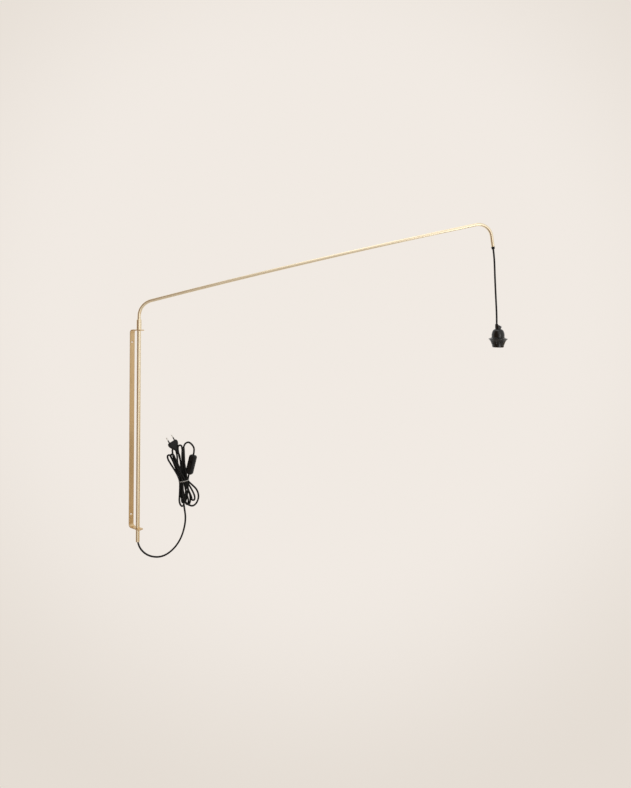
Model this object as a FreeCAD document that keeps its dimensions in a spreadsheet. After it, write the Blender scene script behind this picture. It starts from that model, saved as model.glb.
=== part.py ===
import FreeCAD, Part
import math
import os
import re
import Sketcher

# Swing arm wall lamp, in millimetres.
# The wall is the plane Y = 0, the room is on the side of -Y, and +Z is up.
# The origin is midway between the two wall holes, on the strap's back face.

SIZES = [
    ("strap_width", 17.0, "flat bar of the bracket, width along the wall"),
    ("strap_thickness", 3.0, "flat bar of the bracket, thickness"),
    ("strap_edge", 0.5, "broken edge along the flat bar"),
    ("bracket_height", 620.0, "bracket over both lugs"),
    ("bend_radius", 7.5, "inside radius of the two folds"),
    ("mast_offset", 34.0, "wall to the axis of the upright tube"),
    ("lug_overhang", 17.0, "lug beyond the axis of the upright tube"),
    ("lug_corner_radius", 4.0, "rounded corners of a lug, seen from above"),
    ("wall_hole_inset", 40.0, "wall hole to the nearer end of the bracket"),
    ("wall_hole_diameter", 5.0, "wall screw hole"),
    ("countersink", 2.0, "depth and width of the countersink"),
    ("running_clearance", 0.08, "radial, tube in a lug hole"),
    ("fit_clearance", 0.05, "radial, between pieces that stay together"),
    ("seat_gap", 0.3, "between pieces on different bodies"),
    ("mast_diameter", 12.0, "upright tube, outside"),
    ("mast_wall", 0.9, "upright tube, wall"),
    ("mast_tail", 39.0, "upright tube below the lower lug"),
    ("mast_in_sleeve", 15.0, "upright tube above the upper lug"),
    ("sleeve_diameter", 15.0, "sleeve on the upper lug, outside"),
    ("sleeve_length", 31.5, "sleeve, length"),
    ("sleeve_chamfer", 0.8, "sleeve, upper edge"),
    ("grub_diameter", 4.0, "locking screw in the sleeve"),
    ("grub_height", 23.0, "locking screw above the lug"),
    ("arm_diameter", 10.0, "arm tube, outside"),
    ("arm_wall", 1.0, "arm tube, wall"),
    ("arm_plug_depth", 60.0, "arm tube inside the upright tube, below the lug's top"),
    ("arm_neck", 10.5, "straight arm tube above the sleeve"),
    ("near_bend_radius", 50.0, "centre line of the bend over the sleeve"),
    ("arm_slope_angle", 14.85, "slope after the first bend, degrees"),
    ("arm_bow_angle", 2.66, "slope lost over the long run, degrees"),
    ("far_bend_radius", 40.0, "centre line of the bend at the end"),
    ("drop_length", 35.0, "straight drop at the end of the arm"),
    ("drop_lean", 8.0, "lean of the drop from upright, degrees"),
    ("arm_reach", 1099.0, "axis of the upright tube to the end of the arm"),
    ("rest_swing_angle", 35.0, "arm from square to the wall, degrees"),
    ("cord_diameter", 5.5, "flex"),
    ("bush_length", 7.8, "bush below the end of the arm"),
    ("bush_diameter", 11.0, "bush at the end of the arm"),
    ("spigot_length", 9.0, "part of a bush inside its tube"),
    ("holder_drop", 240.0, "end of the arm to the top of the cord grip"),
    ("holder_side", 4.5, "cord to the axis of the lampholder"),
    ("skirt_radius", 17.5, "lampholder skirt, outside"),
    ("skirt_bore", 15.4, "lampholder skirt, inside radius"),
    ("skirt_height", 31.0, "lampholder skirt up to the dome"),
    ("skirt_edge", 1.4, "broken lower edge of the skirt"),
    ("thread_height", 8.0, "start of the outer thread above the mouth"),
    ("thread_depth", 0.6, "outer thread stands out of the skirt"),
    ("neck_radius", 17.0, "skirt inside the dome"),
    ("neck_height", 4.0, "skirt inside the dome, height"),
    ("ledge_thickness", 3.0, "ledge in the skirt that the screw shell seats under"),
    ("ring_radius", 28.6, "shade ring, flange"),
    ("ring_edge", 1.3, "shade ring, thickness at the flange's edge"),
    ("ring_top", 30.6, "shade ring, top above the mouth"),
    ("ring_height", 22.0, "shade ring, whole height"),
    ("ring_slope", 3.6, "shade ring, flange's edge below its top"),
    ("ring_crown_radius", 20.4, "shade ring, radius of its top"),
    ("ring_collar_height", 11.6, "shade ring, height of the lower collar"),
    ("ring_collar_top", 24.3, "shade ring, collar radius under the flange"),
    ("ring_collar_foot", 19.4, "shade ring, collar radius at the foot"),
    ("ring_flutes", 12.0, "finger flutes round the collar"),
    ("flute_width", 2.4, "width of one flute"),
    ("flute_depth", 0.5, "depth of a flute at the foot of the collar"),
    ("dome_radius", 19.4, "dome, lower part"),
    ("dome_side", 8.5, "dome, height of its straight side"),
    ("dome_haunch", 14.0, "dome, height of the haunch"),
    ("dome_haunch_radius", 17.8, "dome, radius at the haunch"),
    ("dome_shoulder", 21.0, "dome, height of the shoulder"),
    ("dome_shoulder_radius", 15.0, "dome, radius at the shoulder"),
    ("dome_room", 10.4, "room inside the dome, height of its wide part"),
    ("dome_upper_room", 13.9, "room inside the dome, whole height"),
    ("dome_upper_bore", 13.2, "room inside the dome, radius of its upper part"),
    ("dome_height", 25.0, "dome, whole height"),
    ("dome_top_radius", 11.5, "flat top of the dome"),
    ("grip_radius", 8.6, "cord grip, body"),
    ("grip_height", 12.0, "cord grip, body height"),
    ("grip_boss_radius", 4.9, "cord grip, boss round the cord"),
    ("grip_boss_height", 16.5, "cord grip, boss above the dome"),
    ("grip_spigot_radius", 7.6, "cord grip, spigot in the dome"),
    ("grip_spigot_length", 4.0, "cord grip, spigot in the dome, length"),
    ("shell_radius", 13.35, "screw shell, inside radius"),
    ("shell_wall", 0.5, "screw shell, sheet"),
    ("shell_start", 5.0, "screw shell above the mouth"),
    ("insert_height", 6.0, "contact block"),
    ("contact_width", 6.0, "centre contact strip"),
    ("contact_thickness", 0.6, "centre contact strip, sheet"),
    ("contact_drop", 2.7, "centre contact strip, bent down"),
    ("switch_length", 61.0, "cord switch"),
    ("switch_width", 23.0, "cord switch"),
    ("switch_depth", 15.0, "cord switch"),
    ("switch_wall", 1.8, "cord switch, shell wall"),
    ("switch_corner", 6.5, "cord switch, corners"),
    ("switch_edge", 2.0, "cord switch, rounded long edges"),
    ("case_screw_radius", 1.2, "case screws, shank"),
    ("case_screw_head", 2.2, "case screws, head"),
    ("strip_length", 12.0, "contact strip in the switch"),
    ("strip_width", 5.0, "contact strip in the switch"),
    ("strip_thickness", 0.8, "contact strip in the switch, sheet"),
    ("strip_spacing", 22.0, "middles of the two contact strips"),
    ("strip_post", 3.6, "bent up end of a contact strip"),
    ("rocker_length", 18.0, "rocker"),
    ("rocker_width", 9.0, "rocker"),
    ("rocker_tilt", 7.0, "rocker from level, degrees"),
    ("rocker_pin_diameter", 2.4, "rocker pivot"),
    ("rocker_pin_depth", 3.4, "rocker pivot under the switch's face"),
    ("plug_width", 35.3, "plug, across the pins"),
    ("plug_thickness", 13.7, "plug"),
    ("plug_length", 42.0, "plug, face to the end of its cord guard"),
    ("pin_spacing", 18.6, "plug pins"),
    ("pin_diameter", 4.0, "plug pins, bare end"),
    ("pin_core_diameter", 3.0, "plug pins, inside their sleeves"),
    ("pin_length", 19.0, "plug pins outside the face"),
    ("pin_root", 8.0, "plug pins inside the body"),
    ("pin_sleeve_length", 10.0, "insulated part of a pin"),
    ("pin_sleeve_diameter", 3.8, "insulated part of a pin"),
    ("hank_depth", 20.0, "thickness of the tied hank"),
    ("tie_height", 2.6, "twist tie"),
    ("tie_thickness", 1.2, "twist tie"),
]

PARTS_FOLDER = "parts"

doc = FreeCAD.newDocument("swing_arm_wall_lamp")
sheet = doc.addObject("Spreadsheet::Sheet", "Sizes")
for row, (alias, number, note) in enumerate(SIZES, start=1):
    sheet.set(f"A{row}", note)
    sheet.set(f"B{row}", str(number))
    sheet.setAlias(f"B{row}", alias)
doc.recompute()

ALIASES = {alias for alias, number, note in SIZES}
SUBPARTS = []


def bound(formula):
    """The formula with each size read from the spreadsheet."""
    def link(found):
        word = found.group(0)
        return "Sizes." + word if word in ALIASES else word
    return re.sub(r"[a-z][a-z_0-9]*", link, formula)


def size(formula):
    """The number that a formula of sizes gives now."""
    result = sheet.evalExpression(bound(formula))
    return float(getattr(result, "Value", result))


def vector(x, y, z):
    return FreeCAD.Vector(x, y, z)


def shift(x, y, z):
    return FreeCAD.Placement(vector(x, y, z), FreeCAD.Rotation())


def turn(axis, angle, origin=None):
    place = FreeCAD.Placement(vector(0, 0, 0), FreeCAD.Rotation(axis, angle))
    if origin is None:
        return place
    return shift(origin.x, origin.y, origin.z) * place * shift(-origin.x, -origin.y, -origin.z)


X_AXIS = vector(1, 0, 0)
Y_AXIS = vector(0, 1, 0)
Z_AXIS = vector(0, 0, 1)


# Sketches and features

def new_body(name):
    body = doc.addObject("PartDesign::Body", name)
    body.Label = name
    SUBPARTS.append(body)
    return body


def new_sketch(body, plane, height="0"):
    """A sketch on one of the body's own planes, moved along its normal."""
    sketch = body.newObject("Sketcher::SketchObject", "outline")
    support = next(item for item in body.Origin.OriginFeatures if item.Role == plane)
    sketch.AttachmentSupport = [(support, "")]
    sketch.MapMode = "FlatFace"
    if height != "0":
        sketch.setExpression("AttachmentOffset.Base.z", bound(height))
    return sketch


def fix_point(sketch, geometry, end, x, y):
    """Ties one point of the sketch to two formulas."""
    if x == "0":
        sketch.addConstraint(Sketcher.Constraint("PointOnObject", geometry, end, -2))
    else:
        number = sketch.addConstraint(
            Sketcher.Constraint("DistanceX", -1, 1, geometry, end, size(x)))
        sketch.setExpression(f"Constraints[{number}]", bound(x))
    if y == "0":
        sketch.addConstraint(Sketcher.Constraint("PointOnObject", geometry, end, -1))
    else:
        number = sketch.addConstraint(
            Sketcher.Constraint("DistanceY", -1, 1, geometry, end, size(y)))
        sketch.setExpression(f"Constraints[{number}]", bound(y))


def arc_between(start, finish, radius, side):
    """A short arc. Side 1 has its centre left of the way from start to finish."""
    middle = (start + finish) * 0.5
    along = finish - start
    half = along.Length / 2
    left = vector(-along.y, along.x, 0).normalize()
    centre = middle + left * (side * math.sqrt(max(radius * radius - half * half, 0)))
    first, last = (start, finish) if side > 0 else (finish, start)
    begin = math.atan2(first.y - centre.y, first.x - centre.x)
    end = math.atan2(last.y - centre.y, last.x - centre.x)
    return Part.ArcOfCircle(Part.Circle(centre, Z_AXIS, radius), begin, end)


def chain(sketch, points, arcs=None, closed=True):
    """Straight edges from point to point, with arcs = {edge: (radius, side)}."""
    arcs = arcs or {}
    spots = [vector(size(x), size(y), 0) for x, y in points]
    count = len(points) if closed else len(points) - 1
    ends = []
    for edge in range(count):
        start, finish = spots[edge], spots[(edge + 1) % len(spots)]
        if edge in arcs:
            radius, side = arcs[edge]
            number = sketch.addGeometry(arc_between(start, finish, size(radius), side))
            ends.append((number, 1, 2) if side > 0 else (number, 2, 1))
        else:
            number = sketch.addGeometry(Part.LineSegment(start, finish))
            ends.append((number, 1, 2))
    for edge in range(count):
        number, begin, end = ends[edge]
        fix_point(sketch, number, begin, *points[edge])
        if edge + 1 < count or closed:
            after = ends[(edge + 1) % count]
            sketch.addConstraint(
                Sketcher.Constraint("Coincident", number, end, after[0], after[1]))
        else:
            fix_point(sketch, number, end, *points[-1])
        if edge in arcs:
            radius = arcs[edge][0]
            tie = sketch.addConstraint(Sketcher.Constraint("Radius", number, size(radius)))
            sketch.setExpression(f"Constraints[{tie}]", bound(radius))


def circle(sketch, x, y, radius):
    spot = vector(size(x), size(y), 0)
    number = sketch.addGeometry(Part.Circle(spot, Z_AXIS, size(radius)))
    fix_point(sketch, number, 3, x, y)
    tie = sketch.addConstraint(Sketcher.Constraint("Radius", number, size(radius)))
    sketch.setExpression(f"Constraints[{tie}]", bound(radius))


def rectangle(sketch, left, low, right, high):
    chain(sketch, [(left, low), (right, low), (right, high), (left, high)])


def pad(body, sketch, length, both_ways=False):
    feature = body.newObject("PartDesign::Pad", "pad")
    feature.Profile = sketch
    feature.Midplane = both_ways
    feature.setExpression("Length", bound(length))
    return feature


def cut_both_ways(body, sketch, length):
    feature = body.newObject("PartDesign::Pocket", "cut")
    feature.Profile = sketch
    feature.Midplane = True
    feature.setExpression("Length", bound(length))
    return feature


def revolve(body, sketch):
    feature = body.newObject("PartDesign::Revolution", "turned")
    feature.Profile = sketch
    feature.ReferenceAxis = (sketch, ["V_Axis"])
    feature.Angle = 360
    return feature


def turned_body(name, points, arcs=None):
    """A body turned about its Z axis from (radius, height) points."""
    body = new_body(name)
    sketch = new_sketch(body, "XZ_Plane")
    chain(sketch, points, arcs)
    revolve(body, sketch)
    return body


def edges_of(feature, chosen):
    names = []
    for number, edge in enumerate(feature.Shape.Edges, start=1):
        if chosen(edge):
            names.append(f"Edge{number}")
    return names


def round_edges(body, base, chosen, radius, kind="PartDesign::Fillet"):
    doc.recompute()
    feature = body.newObject(kind, "edges")
    feature.Base = (base, edges_of(base, chosen))
    feature.setExpression("Radius" if kind.endswith("Fillet") else "Size", bound(radius))
    doc.recompute()
    return feature


def near(first, second):
    return abs(first - second) < 1e-4


def straight_along(edge, axis):
    if not isinstance(edge.Curve, Part.Line):
        return False
    return abs(abs(edge.tangentAt(edge.FirstParameter).dot(axis)) - 1) < 1e-6


def plain_part(name, shape):
    """A sub-part whose shape is made by the functions of Part alone."""
    feature = doc.addObject("Part::Feature", name)
    feature.Label = name
    feature.Shape = shape
    SUBPARTS.append(feature)
    return feature


# Frames in which the pieces are drawn

MAST = shift(0, -size("mast_offset"), 0)
ARM = MAST * turn(Z_AXIS, size("rest_swing_angle") - 90)
MAST_FOOT = -size("bracket_height / 2 + mast_tail")
LEAD = ARM * shift(0, 0, MAST_FOOT)


# Wall bracket: one flat bar, folded at both ends

def wall_bracket():
    body = new_body("wall_bracket")
    half = "bracket_height / 2"
    reach = "-(mast_offset + lug_overhang)"
    sketch = new_sketch(body, "YZ_Plane")
    chain(sketch, [
        ("0", f"-{half}"),
        (reach, f"-{half}"),
        (reach, f"-{half} + strap_thickness"),
        ("-strap_thickness", f"-{half} + strap_thickness"),
        ("-strap_thickness", f"{half} - strap_thickness"),
        (reach, f"{half} - strap_thickness"),
        (reach, half),
        ("0", half),
    ])
    bar = pad(body, sketch, "strap_width", both_ways=True)
    top = size(half)
    thickness = size("strap_thickness")

    def outer_fold(edge):
        middle = edge.CenterOfMass
        return straight_along(edge, X_AXIS) and near(middle.y, 0) and near(abs(middle.z), top)

    def inner_fold(edge):
        middle = edge.CenterOfMass
        return (straight_along(edge, X_AXIS) and near(middle.y, -thickness)
                and near(abs(middle.z), top - thickness))

    def lug_corner(edge):
        return straight_along(edge, Z_AXIS) and near(edge.CenterOfMass.y, size(reach))

    folded = round_edges(body, bar, outer_fold, "bend_radius + strap_thickness")
    folded = round_edges(body, folded, inner_fold, "bend_radius")
    cornered = round_edges(body, folded, lug_corner, "lug_corner_radius")

    def long_edge(edge):
        middle = edge.CenterOfMass
        side = near(abs(middle.x), size("strap_width / 2"))
        tip = middle.y < size(f"{reach} + lug_corner_radius") and not straight_along(edge, Z_AXIS)
        return side or tip

    round_edges(body, cornered, long_edge, "strap_edge", "PartDesign::Chamfer")
    sketch = new_sketch(body, "XY_Plane")
    circle(sketch, "0", "-mast_offset", "mast_diameter / 2 + running_clearance")
    cut_both_ways(body, sketch, "bracket_height * 1.1")
    sketch = new_sketch(body, "XZ_Plane")
    circle(sketch, "0", f"{half} - wall_hole_inset", "wall_hole_diameter / 2")
    circle(sketch, "0", f"-({half} - wall_hole_inset)", "wall_hole_diameter / 2")
    holes = cut_both_ways(body, sketch, "strap_thickness * 4")

    def hole_mouth(edge):
        middle = edge.CenterOfMass
        return (isinstance(edge.Curve, Part.Circle) and near(middle.y, -thickness)
                and near(abs(middle.z), size(f"{half} - wall_hole_inset")))

    round_edges(body, holes, hole_mouth, "countersink", "PartDesign::Chamfer")


# Upright tube, its sleeve and the arm

def mast_tube():
    body = new_body("mast_tube")
    sketch = new_sketch(body, "XY_Plane", "-(bracket_height / 2 + mast_tail)")
    circle(sketch, "0", "0", "mast_diameter / 2")
    circle(sketch, "0", "0", "mast_diameter / 2 - mast_wall")
    pad(body, sketch, "bracket_height + mast_tail + mast_in_sleeve")
    body.Placement = MAST


def sleeve_collar():
    low, high = "bracket_height / 2 + seat_gap", "bracket_height / 2 + sleeve_length"
    step = "bracket_height / 2 + mast_in_sleeve"
    outer = "sleeve_diameter / 2"
    wide = "mast_diameter / 2 + fit_clearance"
    narrow = "arm_diameter / 2 + fit_clearance"
    body = turned_body("sleeve_collar", [
        (wide, low),
        (outer, low),
        (outer, f"{high} - sleeve_chamfer"),
        (f"{outer} - sleeve_chamfer", high),
        (narrow, high),
        (narrow, step),
        (wide, step),
    ])
    sketch = new_sketch(body, "XZ_Plane")
    circle(sketch, "0", "bracket_height / 2 + grub_height", "grub_diameter / 2 + fit_clearance")
    drill = body.newObject("PartDesign::Pocket", "screw_hole")
    drill.Profile = sketch
    drill.setExpression("Length", bound("sleeve_diameter"))
    body.Placement = ARM


def sleeve_grub_screw():
    """Headless screw that locks the arm in the sleeve, on the side away from the room."""
    radius = "grub_diameter / 2"
    body = turned_body("sleeve_grub_screw", [
        ("0", "arm_diameter / 2 + fit_clearance"),
        (radius, "arm_diameter / 2 + fit_clearance"),
        (radius, "sleeve_diameter / 2 - fit_clearance"),
        ("0", "sleeve_diameter / 2 - fit_clearance"),
    ])
    sketch = new_sketch(body, "XY_Plane", "sleeve_diameter / 2")
    rectangle(sketch, "-grub_diameter", "-0.35", "grub_diameter", "0.35")
    cut_both_ways(body, sketch, "1.6")
    height = size("bracket_height / 2 + grub_height")
    body.Placement = ARM * shift(0, 0, height) * turn(X_AXIS, -90)


def arm_path_points(foot):
    """The centre line of the arm, as formulas, from a foot on the upright's axis."""
    first = "arm_slope_angle * 1 deg"
    last = "(arm_slope_angle - arm_bow_angle) * 1 deg"
    down = "(90 - drop_lean) * 1 deg"
    bend = "(bracket_height / 2 + sleeve_length + arm_neck)"
    near_x = f"(near_bend_radius * (1 - sin({first})))"
    near_z = f"({bend} + near_bend_radius * cos({first}))"
    drop_x = f"(arm_reach - drop_length * cos({down}))"
    far_x = f"({drop_x} - far_bend_radius * (sin({last}) + sin({down})))"
    bow = f"(({far_x} - {near_x}) / (sin({first}) - sin({last})))"
    far_z = f"({near_z} + {bow} * (cos({last}) - cos({first})))"
    drop_z = f"({far_z} - far_bend_radius * (cos({last}) - cos({down})))"
    end_z = f"({drop_z} - drop_length * sin({down}))"
    points = [
        ("0", foot),
        ("0", bend),
        (near_x, near_z),
        (far_x, far_z),
        (drop_x, drop_z),
        ("arm_reach", end_z),
    ]
    arcs = {1: ("near_bend_radius", -1), 2: (bow, -1), 3: ("far_bend_radius", -1)}
    return points, arcs


def arm_body(name, foot, radii):
    """A round section, solid or hollow, carried along the arm's centre line."""
    body = new_body(name)
    points, arcs = arm_path_points(foot)
    path = new_sketch(body, "XZ_Plane")
    chain(path, points, arcs, closed=False)
    section = new_sketch(body, "XY_Plane", foot)
    for radius in radii:
        circle(section, "0", "0", radius)
    pipe = body.newObject("PartDesign::AdditivePipe", "carried")
    pipe.Profile = section
    pipe.Spine = (path, [])
    body.Placement = ARM


ARM_END = vector(size(arm_path_points("0")[0][-1][0]), 0, size(arm_path_points("0")[0][-1][1]))
DROP = ARM * shift(ARM_END.x, 0, ARM_END.z)


def arm_end_bush():
    """Black bush that takes the edge off the tube where the flex comes out."""
    bore = "cord_diameter / 2 + fit_clearance"
    spigot = "arm_diameter / 2 - arm_wall - fit_clearance"
    outer = "bush_diameter / 2"
    body = turned_body("arm_end_bush", [
        (bore, "-bush_length"),
        (f"{outer} - 0.8", "-bush_length"),
        (outer, "0"),
        (spigot, "0"),
        (spigot, "spigot_length"),
        (bore, "spigot_length"),
    ])
    body.Placement = DROP * turn(Y_AXIS, -size("drop_lean"))


def mast_end_bush():
    """Bush flush with the lower end of the upright tube."""
    bore = "cord_diameter / 2 + seat_gap"
    spigot = "mast_diameter / 2 - mast_wall - fit_clearance"
    body = turned_body("mast_end_bush", [
        (bore, "0"),
        (spigot, "0"),
        (spigot, "spigot_length"),
        (bore, "spigot_length"),
    ])
    body.Placement = LEAD


# Lampholder, drawn upwards from its mouth

HOLDER_HEIGHT = "(skirt_height + dome_height + grip_boss_height)"
CORD_END_SIDE = 13.3


def holder_frame():
    """The mouth of the lampholder, under the lower end of the hanging flex."""
    drop = size(f"holder_drop + {HOLDER_HEIGHT}")
    return DROP * shift(CORD_END_SIDE + size("holder_side"), 0, -drop)


HOLDER = holder_frame()


def holder_skirt():
    seat = "skirt_height + neck_height"
    ledge = "shell_radius - 0.85"
    thread = "skirt_radius + thread_depth"
    body = turned_body("holder_skirt", [
        ("skirt_bore", "0"),
        ("skirt_radius - skirt_edge", "0"),
        ("skirt_radius", "skirt_edge"),
        ("skirt_radius", "thread_height"),
        (thread, "thread_height"),
        (thread, "skirt_height - seat_gap"),
        ("neck_radius", "skirt_height - seat_gap"),
        ("neck_radius", seat),
        (ledge, seat),
        (ledge, f"{seat} - ledge_thickness"),
        ("skirt_bore", f"{seat} - ledge_thickness"),
    ])
    body.Placement = HOLDER


def shade_ring():
    bore = "skirt_radius + thread_depth + fit_clearance"
    foot = "ring_top - ring_height"
    edge = "ring_top - ring_slope"
    body = turned_body("shade_ring", [
        (bore, foot),
        ("ring_collar_foot", foot),
        ("ring_collar_top", f"{foot} + ring_collar_height"),
        ("ring_radius", f"{edge} - ring_edge"),
        ("ring_radius", edge),
        ("ring_crown_radius", "ring_top"),
        (bore, "ring_top"),
    ])
    sketch = new_sketch(body, "XY_Plane", f"{foot} + ring_collar_height * 0.3")
    rectangle(sketch, "ring_collar_foot - flute_depth", "-flute_width / 2",
              "ring_collar_top + flute_width", "flute_width / 2")
    flute = cut_both_ways(body, sketch, "ring_collar_height * 0.6")
    doc.recompute()
    pattern = body.newObject("PartDesign::PolarPattern", "flutes")
    pattern.Originals = [flute]
    axis = next(item for item in body.Origin.OriginFeatures if item.Role == "Z_Axis")
    pattern.Axis = (axis, [""])
    pattern.Angle = 360
    pattern.Occurrences = round(size("ring_flutes"))
    body.Tip = pattern
    body.Placement = HOLDER


def holder_dome():
    low = "skirt_height"
    top = "skirt_height + dome_height"
    bore = "neck_radius + fit_clearance"
    hole = "grip_spigot_radius + fit_clearance"
    body = turned_body("holder_dome", [
        (bore, low),
        ("dome_radius", low),
        ("dome_radius", f"{low} + dome_side"),
        ("dome_haunch_radius", f"{low} + dome_haunch"),
        ("dome_shoulder_radius", f"{low} + dome_shoulder"),
        ("dome_top_radius", top),
        (hole, top),
        (hole, f"{low} + dome_upper_room"),
        ("dome_upper_bore", f"{low} + dome_upper_room"),
        ("dome_upper_bore", f"{low} + dome_room"),
        (bore, f"{low} + dome_room"),
    ])
    body.Placement = HOLDER


def cord_grip():
    """Screwed cap on the dome, with the flex in a boss on one side."""
    low = "skirt_height + dome_height"
    side = "grip_radius"
    body = turned_body("cord_grip", [
        ("0", f"{low} - grip_spigot_length"),
        ("grip_spigot_radius", f"{low} - grip_spigot_length"),
        ("grip_spigot_radius", low),
        (side, low),
        (side, f"{low} + grip_height - 2"),
        (f"{side} - 2", f"{low} + grip_height"),
        ("0", f"{low} + grip_height"),
    ])
    sketch = new_sketch(body, "XY_Plane", low)
    circle(sketch, "-holder_side", "0", "grip_boss_radius")
    pad(body, sketch, "grip_boss_height")
    sketch = new_sketch(body, "XY_Plane", low)
    circle(sketch, "-holder_side", "0", "cord_diameter / 2 + fit_clearance")
    cut_both_ways(body, sketch, "grip_boss_height * 3")
    sketch = new_sketch(body, "YZ_Plane", "-holder_side")
    circle(sketch, "0", f"{low} + grip_height * 0.62", "1.5 + fit_clearance")
    screw_way = body.newObject("PartDesign::Pocket", "screw_way")
    screw_way.Profile = sketch
    screw_way.Reversed = True
    screw_way.setExpression("Length", bound("grip_radius + holder_side + 1"))
    body.Placement = HOLDER


def grip_screw():
    """Screw that presses on the flex from the side."""
    start = "-holder_side + cord_diameter / 2 + fit_clearance"
    body = turned_body("grip_screw", [
        ("0", start),
        ("1.5", start),
        ("1.5", "grip_radius"),
        ("2.9", "grip_radius"),
        ("2.9", "grip_radius + 1.8"),
        ("0", "grip_radius + 1.8"),
    ])
    height = size("skirt_height + dome_height + grip_height * 0.62")
    body.Placement = HOLDER * shift(0, 0, height) * turn(Y_AXIS, 90)


def screw_shell():
    """Sheet metal shell that takes the lamp cap, folded in at its upper end."""
    inner = "shell_radius"
    outer = "shell_radius + shell_wall"
    top = "skirt_height + neck_height - ledge_thickness"
    body = turned_body("screw_shell", [
        (inner, "shell_start"),
        (outer, "shell_start"),
        (outer, top),
        ("shell_radius - 3", top),
        ("shell_radius - 3", f"{top} - shell_wall"),
        (inner, f"{top} - shell_wall"),
    ])
    body.Placement = HOLDER


def contact_block():
    """Insulating block on top of the skirt's neck, carrying the contacts."""
    body = new_body("contact_block")
    seat = "skirt_height + neck_height"
    wide = "neck_radius * 0.97"
    notch = "contact_width / 2"
    sketch = new_sketch(body, "XY_Plane", seat)
    chain(sketch, [
        (f"-{wide}", f"-{wide} * 0.2"), (f"-{wide} * 0.6", f"-{wide} * 0.75"),
        (f"-{notch}", f"-{wide} * 0.75"), (f"-{notch}", f"-{wide} * 0.45"),
        (notch, f"-{wide} * 0.45"), (notch, f"-{wide} * 0.75"),
        (f"{wide} * 0.6", f"-{wide} * 0.75"), (wide, f"-{wide} * 0.2"),
        (wide, f"{wide} * 0.2"), (f"{wide} * 0.6", f"{wide} * 0.75"),
        (notch, f"{wide} * 0.75"), (notch, f"{wide} * 0.45"),
        (f"-{notch}", f"{wide} * 0.45"), (f"-{notch}", f"{wide} * 0.75"),
        (f"-{wide} * 0.6", f"{wide} * 0.75"), (f"-{wide}", f"{wide} * 0.2"),
    ])
    pad(body, sketch, "insert_height")
    body.Placement = HOLDER


def centre_contact():
    """Springy strip under the block that meets the tip of the lamp cap."""
    body = new_body("centre_contact")
    seat = "(skirt_height + neck_height)"
    sketch = new_sketch(body, "XZ_Plane")
    chain(sketch, [
        ("-8", seat),
        ("-8", f"{seat} - contact_thickness"),
        ("-1", f"{seat} - contact_thickness"),
        ("4", f"{seat} - contact_thickness - contact_drop"),
        ("6.5", f"{seat} - contact_thickness - contact_drop + 0.4"),
        ("6.5", f"{seat} - contact_drop + 0.4"),
        ("4", f"{seat} - contact_drop"),
        ("-0.8", seat),
    ])
    pad(body, sketch, "contact_width", both_ways=True)
    body.Placement = HOLDER


def small_screw(length, head_radius, shank_radius, head_height):
    """A cheese head screw, head at the top, under side of the head at z = 0."""
    shank = Part.makeCylinder(shank_radius, length, vector(0, 0, -length))
    return shank.fuse(Part.makeCylinder(head_radius, head_height)).removeSplitter()


def terminal_screws():
    """The two screws that clamp the wires, standing on the block inside the dome."""
    top = size("skirt_height + neck_height + insert_height")
    side = size("neck_radius * 0.6")
    screws = []
    for x in (-side, side):
        screw = small_screw(1.0, 2.4, 1.2, 1.8)
        screw.Placement = shift(x, 0, top + 1.0)
        screws.append(screw)
    feature = plain_part("terminal_screws", Part.makeCompound(screws))
    feature.Placement = HOLDER


# Flex: straight runs joined by arcs, with the points chosen by eye

PENDANT_POINTS = [
    (0.0, 0.0, -0.3),
    (4.4, 0.0, -30.0),
    (6.5, 0.0, -88.0),
    (10.0, 0.0, -158.0),
    (CORD_END_SIDE, 0.0, -214.0),
    (CORD_END_SIDE, 0.0, -249.0),
]
MAINS_POINTS = [
    (0.0, 0.0, 8.0),
    (0.3, 0.0, -15.0),
    (33.0, 0.0, -47.0),
    (84.0, 0.0, -48.0),
    (131.0, 0.0, -3.0),
    (151.0, 0.0, 65.0),
    (142.5, 0.0, 117.0),
]
RUN_SHARE = 0.45


def cord_tube(name, points, frame):
    """A round cord along the points, with an arc at each inner point."""
    spots = [vector(*point) for point in points]
    edges = []
    radii = []
    start = spots[0]
    for before, here, after in zip(spots, spots[1:], spots[2:]):
        back, ahead = before - here, after - here
        half_turn = (math.pi - back.getAngle(ahead)) / 2
        tangent = RUN_SHARE * min(back.Length, ahead.Length)
        radius = tangent / math.tan(half_turn)
        back.normalize()
        ahead.normalize()
        enter, leave = here + back * tangent, here + ahead * tangent
        bisector = (back + ahead).normalize()
        centre_distance = math.hypot(radius, tangent)
        middle = here + bisector * (centre_distance - radius)
        edges.append(Part.LineSegment(start, enter).toShape())
        edges.append(Part.Arc(enter, middle, leave).toShape())
        radii.append(round(radius, 1))
        start = leave
    edges.append(Part.LineSegment(start, spots[-1]).toShape())
    path = Part.Wire(edges)
    radius = size("cord_diameter / 2")
    section = Part.Wire([Part.Circle(spots[0], spots[1] - spots[0], radius).toShape()])
    tube = path.makePipeShell([section], True, True)
    expected = math.pi * radius * radius * path.Length
    if abs(tube.Volume / expected - 1) > 0.01:
        raise ValueError(f"{name} has the wrong volume")
    print(name, "length", round(path.Length, 1), "radii", radii)
    feature = plain_part(name, tube)
    feature.Placement = frame


# Tied hank of flex, with the cord switch and the plug where they lie in it

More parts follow.
